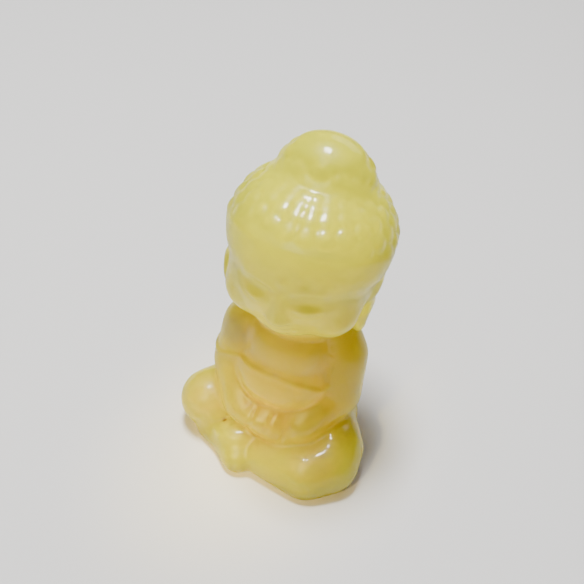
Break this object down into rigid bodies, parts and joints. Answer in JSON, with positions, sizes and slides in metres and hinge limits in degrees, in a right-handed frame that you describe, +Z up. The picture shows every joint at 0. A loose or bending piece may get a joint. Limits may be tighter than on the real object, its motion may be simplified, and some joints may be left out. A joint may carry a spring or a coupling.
{
  "type": "seated buddha figure",
  "caption": "Small polished fluorite figure of a seated buddha with a large head, curled hair, long ears, a robe over one shoulder and hands laid in the lap.",
  "frame": {"origin": "middle of the figure's outline on its flat underside", "axes": "+Z up; the figure faces -Y, and its own left side is at +X"},
  "size_m": [0.023, 0.0206, 0.0417],
  "materials": {
    "fluorite": "translucent yellow-green fluorite, polished"
  },
  "bodies": {
    "root": {"buddha_figure": "fluorite"}
  },
  "joints": []
}
